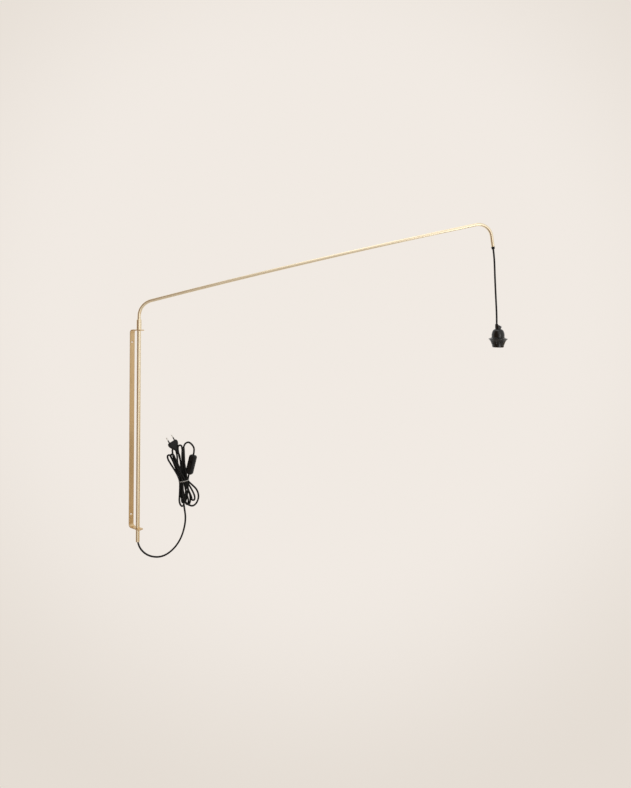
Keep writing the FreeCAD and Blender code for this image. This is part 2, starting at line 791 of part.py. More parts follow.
HANK_OUTLINE = [
    (130, 119), (136, 113), (149, 113), (153, 116), (168, 109), (186, 119), (192.5, 140),
    (185, 164), (167, 183), (157, 190), (157, 199), (161.1, 209.9), (154.3, 211.5), (151.5, 205.5),
    (145.2, 207.5), (144.6, 214), (147.6, 227), (149, 240), (149, 250), (147, 268), (147, 290), (150.5, 302), (157, 306.5),
    (164, 300.5), (168.5, 290), (168.5, 271.5), (175.3, 269.9), (177, 284), (173.8, 298),
    (167, 309), (158, 314.5), (149, 313), (142.5, 306), (139, 299), (134.5, 304.5),
    (129.5, 304.8), (126.6, 300), (126.4, 289.5), (131, 275.8), (122.2, 271), (109.5, 280.5),
    (103, 284), (99, 279), (90, 266), (92, 256), (105, 237), (121, 207), (127.5, 199),
    (127.5, 190), (124, 160), (124, 132),
]
WAIST_LEFT, WAIST_RIGHT, WAIST_HEIGHT = 127.5, 157.0, 194.5
SWITCH_CENTRE = (164.8, 0.0, 240.7)
SWITCH_LEAN = 13.3
SWITCH_TURN = 15.0
PLUG_GUARD_END = (126.4, 0.0, 273.8)
PLUG_LEAN = 29.0
PLUG_TURN = 38.0

SWITCH = (LEAD * shift(*SWITCH_CENTRE) * turn(Y_AXIS, SWITCH_LEAN) * turn(Z_AXIS, -SWITCH_TURN))
PLUG = (LEAD * shift(*PLUG_GUARD_END) * turn(Y_AXIS, -PLUG_LEAN)
        * shift(0, 0, size("plug_length")) * turn(Z_AXIS, PLUG_TURN))


def cord_hank():
    body = new_body("cord_hank")
    sketch = new_sketch(body, "XZ_Plane")
    chain(sketch, [(str(x), str(z)) for x, z in HANK_OUTLINE])
    pad(body, sketch, "hank_depth", both_ways=True)
    body.Placement = LEAD


def hank_tie():
    """Flat twist tie round the waist of the hank."""
    body = new_body("hank_tie")
    sketch = new_sketch(body, "XY_Plane")
    gap = f"{(WAIST_RIGHT - WAIST_LEFT) / 2} + seat_gap"
    deep = "hank_depth / 2 + seat_gap"
    rectangle(sketch, f"-({gap} + tie_thickness)", f"-({deep} + tie_thickness)",
              f"{gap} + tie_thickness", f"{deep} + tie_thickness")
    rectangle(sketch, f"-({gap})", f"-({deep})", gap, deep)
    pad(body, sketch, "tie_height", both_ways=True)
    middle = (WAIST_LEFT + WAIST_RIGHT) / 2
    body.Placement = LEAD * shift(middle, 0, WAIST_HEIGHT)


def switch_half(name, front):
    """One half of the switch's case, parted along its middle plane."""
    body = new_body(name)
    side = "-" if front else ""
    half_long, half_wide = "switch_length / 2", "switch_width / 2"
    corner = "switch_corner"
    sketch = new_sketch(body, "XZ_Plane")
    chain(sketch, [
        (f"-{half_wide} + {corner}", f"-{half_long}"),
        (f"{half_wide} - {corner}", f"-{half_long}"),
        (half_wide, f"-{half_long} + {corner}"),
        (half_wide, f"{half_long} - {corner}"),
        (f"{half_wide} - {corner}", half_long),
        (f"-{half_wide} + {corner}", half_long),
        (f"-{half_wide}", f"{half_long} - {corner}"),
        (f"-{half_wide}", f"-{half_long} + {corner}"),
    ], {1: (corner, 1), 3: (corner, 1), 5: (corner, 1), 7: (corner, 1)})
    block = pad(body, sketch, "switch_depth / 2")
    block.Reversed = not front
    doc.recompute()

    def outer_rim(edge):
        return near(edge.CenterOfMass.y, size(f"{side}switch_depth / 2"))

    round_edges(body, block, outer_rim, "switch_edge", "PartDesign::Chamfer")
    wall = "switch_wall"
    sketch = new_sketch(body, "XZ_Plane")
    rectangle(sketch, f"-({half_wide} - {wall})", f"-({half_long} - 7)",
              f"{half_wide} - {wall}", f"{half_long} - 7")
    cut_both_ways(body, sketch, f"(switch_depth / 2 - {wall}) * 2")
    sketch = new_sketch(body, "XY_Plane")
    circle(sketch, "0", "0", "cord_diameter / 2 + fit_clearance")
    cut_both_ways(body, sketch, "switch_length * 1.2")
    screw_holes(body, front)
    if front:
        window(body)
    body.Placement = SWITCH


def window(body):
    """Opening for the rocker, with a cheek on each side that holds its pivot."""
    wide = "rocker_width / 2 + 0.25"
    tall = "rocker_length / 2 + 0.9"
    sketch = new_sketch(body, "XZ_Plane", "switch_depth / 2 - switch_wall - 4")
    rectangle(sketch, f"-({wide}) - 2", "-3.2", f"{wide} + 2", "3.2")
    pad(body, sketch, "4.2")
    sketch = new_sketch(body, "XZ_Plane")
    rectangle(sketch, f"-({wide})", f"-({tall})", wide, tall)
    cut_both_ways(body, sketch, "switch_depth * 1.2")
    sketch = new_sketch(body, "YZ_Plane")
    circle(sketch, "-(switch_depth / 2 - rocker_pin_depth)", "0",
           "rocker_pin_diameter / 2 + fit_clearance")
    cut_both_ways(body, sketch, "rocker_width + 4.5")


def rocker():
    """Rocker of the switch, drawn level about its pivot, resting with one end down."""
    body = new_body("switch_rocker")
    end = "rocker_length / 2"
    sketch = new_sketch(body, "YZ_Plane")
    chain(sketch, [
        ("-(rocker_pin_depth + 0.2)", "0"),
        ("-(rocker_pin_depth + 1.7)", f"{end}"),
        ("-(rocker_pin_depth - 2)", f"{end}"),
        ("2.2", "3"),
        ("2.2", "-3"),
        ("-(rocker_pin_depth - 2)", f"-{end}"),
        ("-(rocker_pin_depth + 1.7)", f"-{end}"),
    ])
    pad(body, sketch, "rocker_width", both_ways=True)
    sketch = new_sketch(body, "YZ_Plane")
    circle(sketch, "0", "0", "rocker_pin_diameter / 2 + fit_clearance")
    cut_both_ways(body, sketch, "rocker_width * 2")
    pivot = shift(0, -size("switch_depth / 2 - rocker_pin_depth"), 0)
    body.Placement = SWITCH * pivot * turn(X_AXIS, size("rocker_tilt"))


def rocker_pin():
    body = new_body("rocker_pin")
    sketch = new_sketch(body, "YZ_Plane")
    circle(sketch, "-(switch_depth / 2 - rocker_pin_depth)", "0", "rocker_pin_diameter / 2")
    pad(body, sketch, "rocker_width + 4.4", both_ways=True)
    body.Placement = SWITCH


def switch_contacts():
    """Two contact strips on the floor of the case, under the rocker's ends."""
    strips = []
    floor = size("switch_depth / 2 - switch_wall")
    length = size("strip_length")
    width = size("strip_width")
    sheet_metal = size("strip_thickness")
    for side in (-1, 1):
        corner = vector(-width / 2, floor - sheet_metal, side * size("strip_spacing / 2") - length / 2)
        strip = Part.makeBox(width, sheet_metal, length, corner)
        inner = side * size("strip_spacing / 2 - strip_length / 2")
        foot = vector(-width / 2, floor - size("strip_post"), inner - (sheet_metal if side < 0 else 0))
        post = Part.makeBox(width, size("strip_post"), sheet_metal, foot)
        strips.append(strip.fuse(post).removeSplitter())
    feature = plain_part("switch_contacts", Part.makeCompound(strips))
    feature.Placement = SWITCH


SCREW_SPOTS = [("-5.4", "26"), ("5.4", "-26")]


def screw_holes(body, front):
    """Holes for the two case screws, wider at the back for their heads."""
    sketch = new_sketch(body, "XZ_Plane")
    for x, z in SCREW_SPOTS:
        circle(sketch, x, z, "case_screw_radius + fit_clearance")
    cut_both_ways(body, sketch, "switch_depth - 5" if front else "switch_depth * 1.2")
    if not front:
        sketch = new_sketch(body, "XZ_Plane", "-switch_depth / 2")
        for x, z in SCREW_SPOTS:
            circle(sketch, x, z, "case_screw_head + fit_clearance")
        cut_both_ways(body, sketch, "4")


def switch_screws():
    """Two screws from the back that hold the case together, heads just below the face."""
    seat = size("switch_depth / 2 - 2")
    screws = []
    for x, z in SCREW_SPOTS:
        screw = small_screw(size("switch_depth - 5"), size("case_screw_head"),
                            size("case_screw_radius"), 1.6)
        screw.Placement = shift(float(x), seat, float(z)) * turn(X_AXIS, -90)
        screws.append(screw)
    feature = plain_part("switch_screws", Part.makeCompound(screws))
    feature.Placement = SWITCH


def plug_body():
    """Moulded plug: flat head, tapering grip and round cord guard."""
    body = new_body("plug_body")
    sections = [
        ("0", "plug_width - 3", "plug_thickness - 1.6"),
        ("-5", "plug_width", "plug_thickness"),
        ("-18", "plug_width * 0.68", "plug_thickness - 0.9"),
        ("-28", "plug_width * 0.33", "plug_thickness - 3.2"),
    ]
    sketches = []
    for height, width, thick in sections:
        sketch = new_sketch(body, "XY_Plane", height)
        x, y = f"({width}) / 2", f"({thick}) / 2"
        chain(sketch, [
            (f"-{x} + 3.4", f"-{y}"), (f"{x} - 3.4", f"-{y}"),
            (x, f"-{y} * 0.3"), (x, f"{y} * 0.3"),
            (f"{x} - 3.4", y), (f"-{x} + 3.4", y),
            (f"-{x}", f"{y} * 0.3"), (f"-{x}", f"-{y} * 0.3"),
        ])
        sketches.append(sketch)
    loft = body.newObject("PartDesign::AdditiveLoft", "grip")
    loft.Profile = sketches[0]
    loft.Sections = sketches[1:]
    loft.Ruled = True
    sketch = new_sketch(body, "XZ_Plane")
    chain(sketch, [
        ("0", "-27"),
        ("5.2", "-27"),
        ("5.2", "-31"),
        ("3.6", "-plug_length"),
        ("0", "-plug_length"),
    ])
    revolve(body, sketch)
    x = "pin_spacing / 2"
    sketch = new_sketch(body, "XY_Plane")
    circle(sketch, x, "0", "pin_core_diameter / 2 + fit_clearance")
    circle(sketch, f"-{x}", "0", "pin_core_diameter / 2 + fit_clearance")
    cut_both_ways(body, sketch, "pin_root * 2")
    body.Placement = PLUG


def plug_pins():
    """Two round pins, thinner inside their sleeves."""
    core = size("pin_core_diameter / 2")
    bare = size("pin_diameter / 2")
    sleeve = size("pin_sleeve_length")
    length = size("pin_length")
    root = size("pin_root")
    pins = []
    sleeves = []
    for x in (-size("pin_spacing / 2"), size("pin_spacing / 2")):
        shank = Part.makeCylinder(core, sleeve + root, vector(x, 0, -root))
        tip = Part.makeCylinder(bare, length - sleeve - bare * 0.6, vector(x, 0, sleeve))
        nose = Part.makeCone(bare, bare * 0.5, bare * 0.6, vector(x, 0, length - bare * 0.6))
        pins.append(shank.fuse([tip, nose]).removeSplitter())
        ring = Part.makeCylinder(size("pin_sleeve_diameter / 2"), sleeve, vector(x, 0, 0))
        hole = Part.makeCylinder(core + size("fit_clearance"), sleeve, vector(x, 0, 0))
        sleeves.append(ring.cut(hole))
    metal = plain_part("plug_pins", Part.makeCompound(pins))
    metal.Placement = PLUG
    cover = plain_part("plug_pin_sleeves", Part.makeCompound(sleeves))
    cover.Placement = PLUG


# Building, checking and writing

def build():
    wall_bracket()
    mast_tube()
    sleeve_collar()
    sleeve_grub_screw()
    arm_body("arm_tube", "bracket_height / 2 - arm_plug_depth",
             ["arm_diameter / 2", "arm_diameter / 2 - arm_wall"])
    arm_body("cord_in_tubes", "-(bracket_height / 2 + mast_tail) + 8 + seat_gap",
             ["cord_diameter / 2"])
    arm_end_bush()
    mast_end_bush()
    cord_tube("pendant_cord", PENDANT_POINTS, DROP)
    holder_skirt()
    shade_ring()
    holder_dome()
    cord_grip()
    grip_screw()
    screw_shell()
    contact_block()
    centre_contact()
    terminal_screws()
    cord_tube("mains_cord", MAINS_POINTS, LEAD)
    cord_hank()
    hank_tie()
    switch_half("switch_back_shell", False)
    switch_half("switch_front_shell", True)
    rocker()
    rocker_pin()
    switch_contacts()
    switch_screws()
    plug_body()
    plug_pins()


def check():
    doc.recompute()
    for item in doc.Objects:
        if "Invalid" in item.State or "Error" in item.State:
            raise ValueError(f"{item.Name} {item.Label} did not build")
    for item in SUBPARTS:
        if item.Shape.isNull() or not item.Shape.isValid() or not item.Shape.Solids:
            raise ValueError(f"{item.Label} has a bad shape")


def write():
    os.makedirs(PARTS_FOLDER, exist_ok=True)
    for item in SUBPARTS:
        item.Shape.exportStep(os.path.join(PARTS_FOLDER, item.Label + ".step"))


build()
check()
write()
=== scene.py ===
import math
import bmesh
import bpy
from mathutils import Matrix, Vector


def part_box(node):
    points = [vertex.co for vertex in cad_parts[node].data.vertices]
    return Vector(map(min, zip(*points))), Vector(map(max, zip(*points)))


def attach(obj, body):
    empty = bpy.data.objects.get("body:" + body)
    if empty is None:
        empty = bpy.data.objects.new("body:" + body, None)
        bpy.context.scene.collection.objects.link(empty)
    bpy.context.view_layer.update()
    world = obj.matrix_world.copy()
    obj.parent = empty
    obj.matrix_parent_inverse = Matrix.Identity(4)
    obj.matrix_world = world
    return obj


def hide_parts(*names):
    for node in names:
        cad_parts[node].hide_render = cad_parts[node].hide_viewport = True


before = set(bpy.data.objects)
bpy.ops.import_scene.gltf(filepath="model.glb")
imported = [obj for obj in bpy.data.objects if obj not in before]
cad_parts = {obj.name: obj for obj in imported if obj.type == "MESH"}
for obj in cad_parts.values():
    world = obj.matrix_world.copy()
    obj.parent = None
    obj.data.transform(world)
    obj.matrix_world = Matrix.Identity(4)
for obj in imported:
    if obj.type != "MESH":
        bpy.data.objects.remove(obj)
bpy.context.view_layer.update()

# Swing arm wall lamp, in metres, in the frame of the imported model.
MM = 0.001
PHOTO_HEIGHT = 788


def box_corners(node):
    return [Vector(corner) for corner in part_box(node)]


MAST_LOW, MAST_HIGH = box_corners("mast_tube")
MAST_AXIS = (MAST_LOW + MAST_HIGH) / 2
ARM_ANGLE = -55
ARM_TURN = Matrix.Rotation(math.radians(ARM_ANGLE), 4, "Z")
LEAD = Matrix.Translation((0, MAST_AXIS.y, MAST_LOW.z)) @ ARM_TURN
ARM_REACH = 1.099
ARM_SLOPE = 13.5
ARM_END_HEIGHT = box_corners("pendant_cord")[1].z
ARM_END = Matrix.Translation((ARM_REACH, 0, 0))
DROP = Matrix.Translation((0, MAST_AXIS.y, ARM_END_HEIGHT)) @ ARM_TURN @ ARM_END
SKIRT_LOW, SKIRT_HIGH = box_corners("holder_skirt")
SKIRT_MIDDLE = (SKIRT_LOW + SKIRT_HIGH) / 2
HOLDER = Matrix.Translation((SKIRT_MIDDLE.x, SKIRT_MIDDLE.y, SKIRT_LOW.z)) @ ARM_TURN


def moved(x, y, z):
    return Matrix.Translation((x * MM, y * MM, z * MM))


def turned_by(degrees, axis):
    return Matrix.Rotation(math.radians(degrees), 4, axis)


# Where the switch and the plug lie in the hank: place, lean in the hank's plane and turn about their own length
SWITCH_PLACE, SWITCH_LEAN, SWITCH_TURN = (164.8, 0, 240.7), 13.3, -15
SWITCH = LEAD @ moved(*SWITCH_PLACE) @ turned_by(SWITCH_LEAN, "Y") @ turned_by(SWITCH_TURN, "Z")
PLUG_PLACE, PLUG_LEAN, PLUG_TURN = (125.6, 0, 273.6), -29, 38
PLUG_LENGTH = moved(0, 0, 43.6)
PLUG = LEAD @ moved(*PLUG_PLACE) @ turned_by(PLUG_LEAN, "Y") @ PLUG_LENGTH @ turned_by(PLUG_TURN, "Z")


# Camera: square to the arm as it stands at rest

CAMERA_SIDE = Vector((-0.8192, -0.5736, 0))
ACROSS = Vector((0.5736, -0.8192, 0))
AIM_ACROSS, AIM_HEIGHT = 0.5484, 0.3746
CAMERA_DISTANCE = 1.8
CAMERA_ROLL = math.radians(0.37)
FOCAL_PIXELS = 578.8
AXIS_ROW = 310
SENSOR = 36


def make_camera():
    data = bpy.data.cameras.new("camera")
    data.sensor_width = SENSOR
    data.lens = SENSOR * FOCAL_PIXELS / PHOTO_HEIGHT
    data.shift_y = (AXIS_ROW - PHOTO_HEIGHT / 2) / PHOTO_HEIGHT
    camera = bpy.data.objects.new("camera", data)
    bpy.context.collection.objects.link(camera)
    up = Vector((0, 0, 1))
    right = ACROSS * math.cos(CAMERA_ROLL) + up * math.sin(CAMERA_ROLL)
    top = up * math.cos(CAMERA_ROLL) - ACROSS * math.sin(CAMERA_ROLL)
    place = Matrix((right, top, CAMERA_SIDE)).transposed().to_4x4()
    aim = Vector((0, MAST_AXIS.y, 0)) + ACROSS * AIM_ACROSS + up * AIM_HEIGHT
    place.translation = aim + CAMERA_SIDE * CAMERA_DISTANCE
    camera.matrix_world = place
    bpy.context.scene.camera = camera


# Materials

class Value:
    """A socket that works as a number in an expression."""

    def __init__(self, paint, socket):
        self.paint = paint
        self.socket = socket

    def _math(self, operation, *values):
        return self.paint.node("ShaderNodeMath", {"operation": operation}, dict(enumerate(values)))[0]

    def __add__(self, other):
        return self._math("ADD", self, other)

    def __sub__(self, other):
        return self._math("SUBTRACT", self, other)

    def __mul__(self, other):
        return self._math("MULTIPLY", self, other)

    def __rsub__(self, other):
        return self._math("SUBTRACT", other, self)

    def __gt__(self, other):
        return self._math("GREATER_THAN", self, other)

    __radd__ = __add__
    __rmul__ = __mul__


class Paint:
    """A material, or the world, made of nodes."""

    def __init__(self, owner):
        owner.use_nodes = True
        self.tree = owner.node_tree
        self.tree.nodes.clear()

    def node(self, kind, settings=None, inputs=None):
        """A node with its settings first, then the values or links of its sockets."""
        made = self.tree.nodes.new(kind)
        for name, value in (settings or {}).items():
            if name == "stops":
                self.set_stops(made.color_ramp, value)
            else:
                setattr(made, name, value)
        for name, value in (inputs or {}).items():
            if isinstance(value, Value):
                self.tree.links.new(value.socket, made.inputs[name])
            else:
                made.inputs[name].default_value = value
        return Outputs(self, made)

    def set_stops(self, ramp, stops):
        while len(ramp.elements) < len(stops):
            ramp.elements.new(1)
        for element, (place, colour) in zip(ramp.elements, stops):
            element.position = place
            element.color = colour

    def coordinates(self, kind="Object"):
        return self.node("ShaderNodeTexCoord")[kind]

    def noise(self, place, scale, detail=3.0):
        return self.node("ShaderNodeTexNoise", None, {"Vector": place, "Scale": scale, "Detail": detail})["Fac"]

    def stretched(self, place, scale):
        return self.node("ShaderNodeVectorMath", {"operation": "MULTIPLY"}, {0: place, 1: scale})["Vector"]

    def height(self, place):
        return self.node("ShaderNodeSeparateXYZ", None, {0: place})["Z"]

    def along(self, place, direction):
        """How far a place, or a view direction, lies along a direction."""
        return self.node("ShaderNodeVectorMath", {"operation": "DOT_PRODUCT"}, {
            0: place, 1: tuple(direction)})["Value"]

    def scaled(self, place, scale):
        return self.node("ShaderNodeVectorMath", {"operation": "SCALE"}, {0: place, "Scale": scale})["Vector"]

    def ramp(self, value, start, end):
        """0 before the start, 1 past the end, and smooth between them."""
        return self.node("ShaderNodeMapRange", {"interpolation_type": "SMOOTHSTEP"}, {
            "Value": value, "From Min": start, "From Max": end})["Result"]

    def mix(self, factor, first, second):
        return self.node("ShaderNodeMix", {"data_type": "RGBA"}, {0: factor, 6: first, 7: second})[2]

    def bump(self, height, strength, distance):
        return self.node("ShaderNodeBump", None, {
            "Height": height, "Strength": strength, "Distance": distance})["Normal"]

    def surface(self, inputs):
        shader = self.node("ShaderNodeBsdfPrincipled", None, inputs)["BSDF"]
        self.node("ShaderNodeOutputMaterial", None, {"Surface": shader})


class Outputs:
    def __init__(self, paint, made):
        self.paint = paint
        self.made = made

    def __getitem__(self, name):
        return Value(self.paint, self.made.outputs[name])


def new_paint(name):
    material = bpy.data.materials.new(name)
    return material, Paint(material)


def drawn_lines(paint, place, direction, fine, coarse):
    """Noise in fine lines that run along one direction."""
    back = paint.scaled(tuple(direction), paint.along(place, direction) * (fine - coarse))
    across = paint.scaled(place, fine)
    line_place = paint.node("ShaderNodeVectorMath", {"operation": "SUBTRACT"}, {0: across, 1: back})["Vector"]
    return paint.noise(line_place, 1.0)


def polished_brass(name, direction):
    """Lacquered brass tube, with the faint lines of drawing along it and a few dull patches."""
    material, paint = new_paint(name)
    place = paint.coordinates()
    lines = drawn_lines(paint, place, direction, 900, 25)
    clouds = paint.noise(place, 9.0, 3.0)
    tarnish = paint.noise(place, 38.0, 3.0)
    golden = paint.mix(clouds, (0.92, 0.79, 0.57, 1), (0.95, 0.84, 0.63, 1))
    paint.surface({
        "Base Color": paint.mix(lines * 0.08 + tarnish * 0.10, golden, (0.52, 0.34, 0.15, 1)),
        "Metallic": 1.0,
        "Roughness": 0.22 + clouds * 0.06 + tarnish * 0.04,
        "Normal": paint.bump(lines, 0.003, 0.0001),
        "Coat Weight": 0.2,
        "Coat Roughness": 0.12,
    })
    return material


def brushed_brass():
    """The flat bar's face, brushed along its length and a little browner at its scratches."""
    material, paint = new_paint("brushed_brass")
    place = paint.coordinates()
    grain = drawn_lines(paint, place, (0.0, 0.0, 1.0), 1500, 18)
    clouds = paint.noise(paint.stretched(place, (30, 30, 9)), 1.0, 4.0)
    golden = paint.mix(clouds, (0.70, 0.51, 0.27, 1), (0.80, 0.61, 0.38, 1))
    paint.surface({
        "Base Color": paint.mix((grain > 0.62) * 0.3, golden, (0.50, 0.32, 0.15, 1)),
        "Metallic": 1.0,
        "Roughness": 0.28 + grain * 0.12 + clouds * 0.06,
        "Normal": paint.bump(grain, 0.06, 0.0001),
    })
    return material


def gloss_black():
    """Moulded black lampholder plastic, shiny, with a faint orange peel and finger smears."""
    material, paint = new_paint("gloss_black")
    place = paint.coordinates()
    peel = paint.noise(place, 240.0, 2.0)
    smears = paint.noise(place, 45.0, 4.0)
    dust = paint.noise(place, 900.0, 2.0)
    base = paint.mix(smears, (0.0030, 0.0030, 0.0034, 1), (0.0055, 0.0052, 0.0050, 1))
    paint.surface({
        "Base Color": paint.mix((dust > 0.72) * 0.2, base, (0.030, 0.028, 0.026, 1)),
        "Roughness": 0.14 + smears * 0.12,
        "Normal": paint.bump(peel, 0.02, 0.0002),
        "Specular IOR Level": 0.50,
    })
    return material


def satin_black(name="satin_black"):
    """Spark-eroded black plastic of the plug, the cord switch and the bushes."""
    material, paint = new_paint(name)
    place = paint.coordinates()
    grain = paint.noise(place, 1600.0, 2.0)
    wear = paint.noise(place, 60.0, 3.0)
    paint.surface({
        "Base Color": paint.mix(wear, (0.0045, 0.0045, 0.005, 1), (0.0085, 0.0085, 0.009, 1)),
        "Roughness": 0.38 + wear * 0.12 + grain * 0.04,
        "Normal": paint.bump(grain, 0.05, 0.0001),
        "Specular IOR Level": 0.25,
    })
    return material


def flex_black():
    """Smooth black sheath with a slightly uneven skin and a little dust."""
    material, paint = new_paint("flex_black")
    place = paint.coordinates()
    skin = paint.noise(place, 700.0, 3.0)
    dust = paint.noise(place, 90.0, 4.0)
    paint.surface({
        "Base Color": paint.mix(dust, (0.0035, 0.0035, 0.0035, 1), (0.0075, 0.0072, 0.0068, 1)),
        "Roughness": 0.40 + dust * 0.16,
        "Normal": paint.bump(skin, 0.03, 0.0001),
        "Specular IOR Level": 0.22,
    })
    return material


def plated_metal(name, colour, roughness):
    """Bare or plated metal with fine scratches that are a little darker and duller."""
    darker = tuple(channel * 0.86 for channel in colour[:3]) + (1,)
    material, paint = new_paint(name)
    place = paint.coordinates()
    scratches = paint.noise(paint.stretched(place, (400, 400, 2200)), 1.0, 3.0)
    paint.surface({
        "Base Color": paint.mix(scratches, colour, darker),
        "Metallic": 1.0,
        "Roughness": roughness + scratches * 0.12,
    })
    return material


def glazed_ceramic():
    """Off-white ceramic of the contact block, with fine specks."""
    material, paint = new_paint("glazed_ceramic")
    specks = paint.noise(paint.coordinates(), 500.0, 3.0)
    paint.surface({
        "Base Color": paint.mix(specks, (0.78, 0.76, 0.71, 1), (0.86, 0.85, 0.81, 1)),
        "Roughness": 0.35 + specks * 0.1,
    })
    return material


def tie_grey():
    """Grey sheath of the twist tie, with the crease of the wire inside it."""
    material, paint = new_paint("tie_grey")
    grain = paint.noise(paint.coordinates(), 900.0, 2.0)
    paint.surface({
        "Base Color": paint.mix(grain, (0.36, 0.35, 0.34, 1), (0.56, 0.55, 0.53, 1)),
        "Roughness": 0.45 + grain * 0.2,
        "Normal": paint.bump(grain, 0.12, 0.0002),
    })
    return material


def dress(material, *nodes):
    for node in nodes:
        for holder in bpy.data.objects[node].material_slots:
            holder.material = material


# Flex

FLEX = 0.0055
PENDANT_POINTS = [
    (0.0, 0.0, -0.3), (4.4, 0.0, -30.0), (6.5, 0.0, -88.0), (10.0, 0.0, -158.0),
    (13.3, 0.0, -214.0), (13.3, 0.0, -249.0),
]
MAINS_POINTS = [
    (0.0, 0.0, 8.0), (0.3, 0.0, -15.0), (33.0, 0.0, -47.0), (84.0, 0.0, -48.0),
    (131.0, 0.0, -3.0), (151.0, 0.0, 65.0), (142.5, 0.0, 117.0),
]
HANK_POINTS = [
    # up into the hank, to the narrow loop at the left
    (142, 1, 132.5), (140, 1, 157.5), (137, 5.6, 190), (127.5, 5, 205), (120.5, 3, 218.5),
    (113.5, 0.5, 236.5), (108, -1, 252.5), (102, -1.5, 263.5), (99, -1.8, 270.8),
    (91, -2.2, 269), (92.8, -2.5, 257),
    (103, -3, 241), (114, -4, 225), (125, -5.6, 207.5),
    # down to the small loop at the lower left
    (131.5, -5.6, 190), (131.5, -5.6, 167.5), (130.5, -5.5, 144), (129.5, -5.5, 126), (136, -5.8, 112),
    (144.5, -6, 114.5), (142.5, -5, 127), (134.5, -2.5, 140), (131.5, -0.5, 153), (131, 0, 170.5),
    # up to the loop behind the plug
    (132, 0, 190), (126.5, 1, 212), (121, 1, 235), (114, 0, 252), (108.5, 0, 266),
    (106, 0, 281), (106.3, 0, 289), (113.8, 0, 290.8), (117.5, 0, 284), (121, 1, 267), (121.5, 2, 247),
    (126, 4, 220.5),
    # down to a fold in the middle
    (132, 5.6, 190), (137, 5.6, 170), (140.5, 6, 150), (144.5, 6, 128), (146.3, 6, 118.6), (156, 4, 118),
    (156.5, 2, 132), (151, 0, 151), (146, 0, 170.5),
    # up to the fold at the top of the middle
    (143, 0, 190), (139.5, 0, 220.5), (138, -3, 245.5), (137.5, -6, 270), (138, -5, 287),
    (138.5, -3.4, 292.2), (140.5, 3.4, 292.2), (141, 5, 287), (141.5, 6, 270),
    (142.5, 5.6, 245.5), (145, 5.6, 212.5),
    # down to the narrow loop at the right
    (143, 5.6, 190), (148.5, 5, 174), (159.5, 3, 154), (167.5, 0, 137.5), (166.6, -0.5, 131.2),
    (176.6, -3.4, 130.2), (177.8, -3, 142), (172, -3, 156), (159.5, -1.5, 177.5),
    # up to the small loop at the top
    (148.5, 0, 190), (146, 0, 212.5), (141, 0, 245.5), (139, 1, 272), (136, 1, 289.5),
    (134.3, 1, 300), (124.8, 1, 300.2), (122.5, 1, 290), (125.5, 1, 272), (132.5, 2, 245.5), (139.5, 4, 215.5),
    # down to a fold at the lower right
    (148.5, 5.6, 190), (153, 5.6, 169), (161, 5, 144), (162.5, 3, 129), (160.6, 2, 117), (151.3, -2, 116.8),
    (149, -3, 124), (148.5, -5, 145.5), (150.5, -5.6, 169),
    # up and across the front to the left
    (150, -6.5, 190), (143, -8, 205), (132, -8, 221), (121.5, -7, 237), (112, -6.5, 253),
    (104, -6.5, 264), (102.5, -6.5, 273), (110.8, -6.5, 274.5), (116.5, -6.5, 260),
    (126, -6.5, 241), (133.5, -6, 225),
    (137, -5.6, 209),
    # down to the large loop at the right
    (137.5, -5.6, 190), (138.5, -6, 169), (141.5, -8.5, 144), (150, -8.5, 125), (159.5, -6, 116.5),
    (172, -3, 112), (184, -2, 122.5), (190, -1, 142.5), (183.5, 0, 163), (169.5, 0, 176.5),
    # up through the switch and over its loop
    (154, 0, 190), (156.3, 0, 201), (157.8, 0, 211), (171.8, 0, 270.4), (173.6, 0, 281.5),
    (173.5, 0, 293), (166, 0, 304.5), (154.5, 0, 311.5), (143.5, -1, 304), (141, -3, 289), (142.5, -5, 268),
    (146, -5.6, 240), (151, -5.6, 213),
    # down behind the middle, and up to the plug
    (154, -5.6, 190), (156, -1, 169), (153, 2.5, 146), (148.5, 2.5, 127), (145.4, 1.9, 121.3), (136.4, 0.1, 122.4),
    (136, 0, 137.5), (135.5, 0, 165.5), (137.5, 0, 190), (136, -3, 212.5), (133.5, -4, 237.5),
    (131, -2, 259), (127.4, 0, 272), (124, 0, 278),
]


def smooth_cord(name, points, place):
    """A round curve on one smooth spline, with the route's points as its control points."""
    data = bpy.data.curves.new(name, "CURVE")
    data.dimensions = "3D"
    data.bevel_depth = FLEX / 2
    data.bevel_resolution = 5
    data.resolution_u = 12
    data.use_fill_caps = True
    spline = data.splines.new("NURBS")
    spline.points.add(len(points) - 1)
    for control, point in zip(spline.points, points):
        control.co = (place @ (Vector(point) * MM)).to_4d()
    spline.order_u = 3
    spline.use_endpoint_u = True
    piece = bpy.data.objects.new(name, data)
    bpy.context.collection.objects.link(piece)
    return piece


# Mesh pieces

def softened(corners, closed=True, steps=4):
    """A profile whose corners (radius, height, rounding) are turned into small arcs."""
    points = []
    last = len(corners) - 1
    for number, corner in enumerate(corners):
        here = Vector(corner[:2])
        rounding = corner[2] if len(corner) > 2 else 0
        if not rounding or (not closed and number in (0, last)):
            points.append(here)
            continue
        before = Vector(corners[number - 1][:2]) - here
        after = Vector(corners[(number + 1) % len(corners)][:2]) - here
        half = before.angle(after) / 2
        reach = min(rounding / math.tan(half), 0.46 * before.length, 0.46 * after.length)
        radius = reach * math.tan(half)
        bisector = (before.normalized() + after.normalized()).normalized()
        centre = here + bisector * (radius / math.sin(half))
        first = here + before.normalized() * reach - centre
        final = here + after.normalized() * reach - centre
        swing = first.angle_signed(final)
        for step in range(steps + 1):
            turned = first.copy()
            turned.rotate(Matrix.Rotation(-swing * step / steps, 2))
            points.append(centre + turned)
    return points


